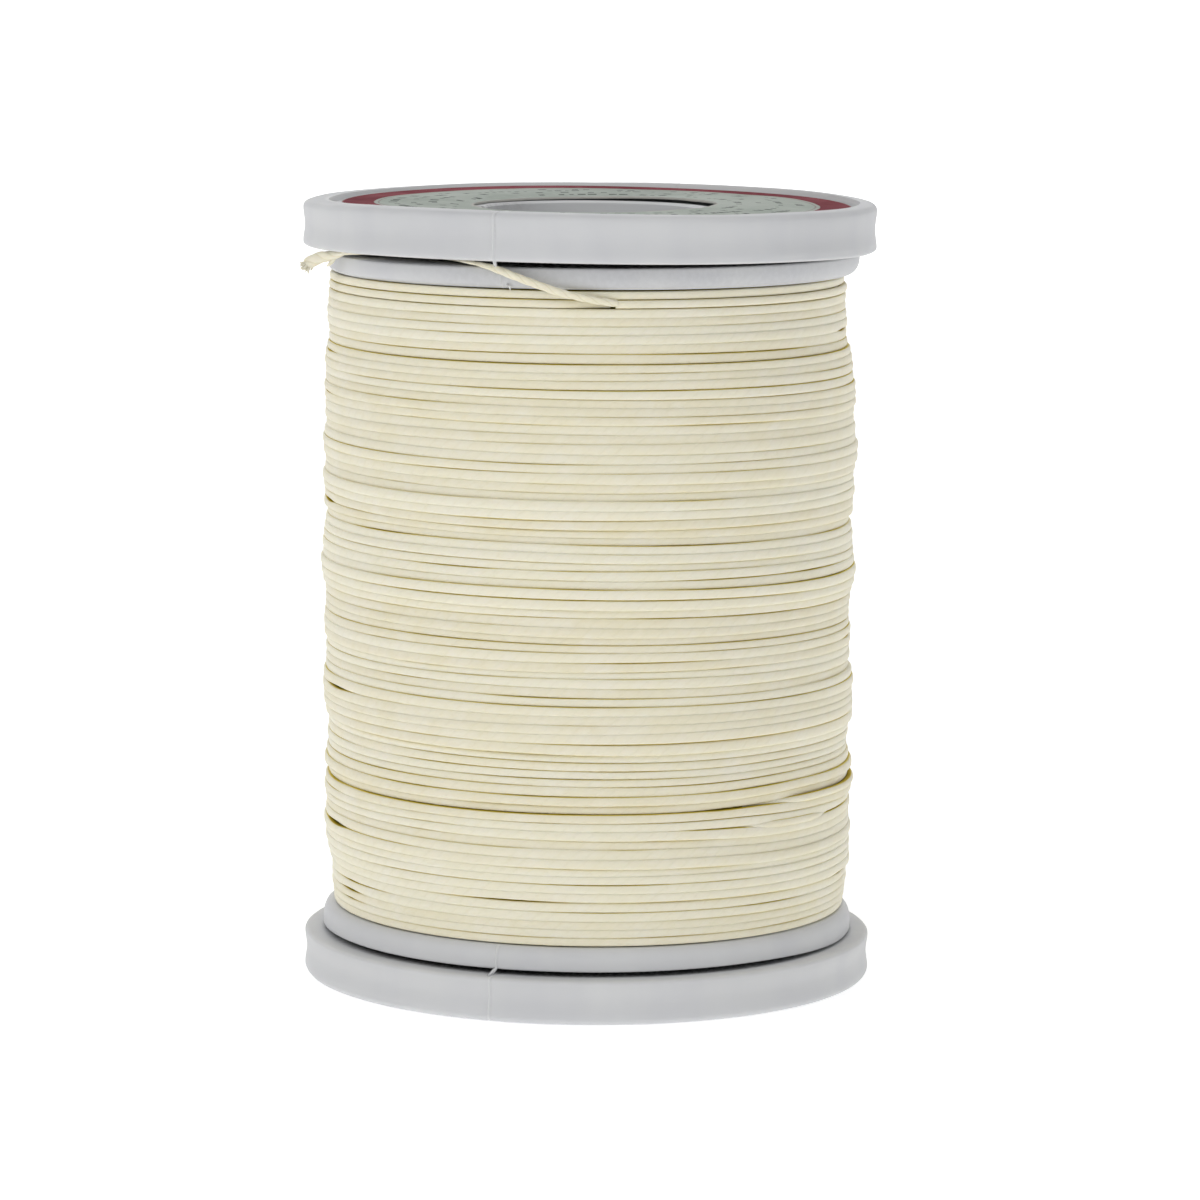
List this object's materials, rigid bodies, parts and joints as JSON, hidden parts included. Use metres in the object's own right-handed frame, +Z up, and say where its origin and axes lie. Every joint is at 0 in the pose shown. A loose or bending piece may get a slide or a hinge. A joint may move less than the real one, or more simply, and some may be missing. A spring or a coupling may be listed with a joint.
{
  "type": "waxed thread spool",
  "caption": "Small moulded spool of ivory waxed cord, with cord-holding slits between its end flanges and discs, paper ring labels, and the loose end of the cord held in the upper slit.",
  "frame": {"origin": "on the spool's axis, in the plane that the spool stands on", "axes": "+Z up along the spool's axis; -Y is the front, where the loose end leaves the last turn; +X is to the right as seen from the front"},
  "size_m": [0.043, 0.043, 0.059],
  "materials": {
    "spool_plastic": "satin, moulded",
    "label_paper": "matt printed paper",
    "waxed_cord": "waxed, soft sheen"
  },
  "bodies": {
    "spool": {"spool_body": "spool_plastic", "top_label": "label_paper", "bottom_label": "label_paper", "wound_thread": "waxed_cord"},
    "last_turn": {"last_turn": "waxed_cord"},
    "tail": {"loose_tail": "waxed_cord"}
  },
  "joints": [
    {"name": "payoff_turn", "type": "hinge", "parent": "spool", "child": "last_turn", "pos_m": [0, 0, 0.05251], "axis": [0, 0, 1], "continuous": true},
    {"name": "tail_swing", "type": "hinge", "parent": "last_turn", "child": "tail", "pos_m": [0.00168, -0.01916, 0.05251], "axis": [0, 0, 1], "range_deg": [0, 90]}
  ]
}
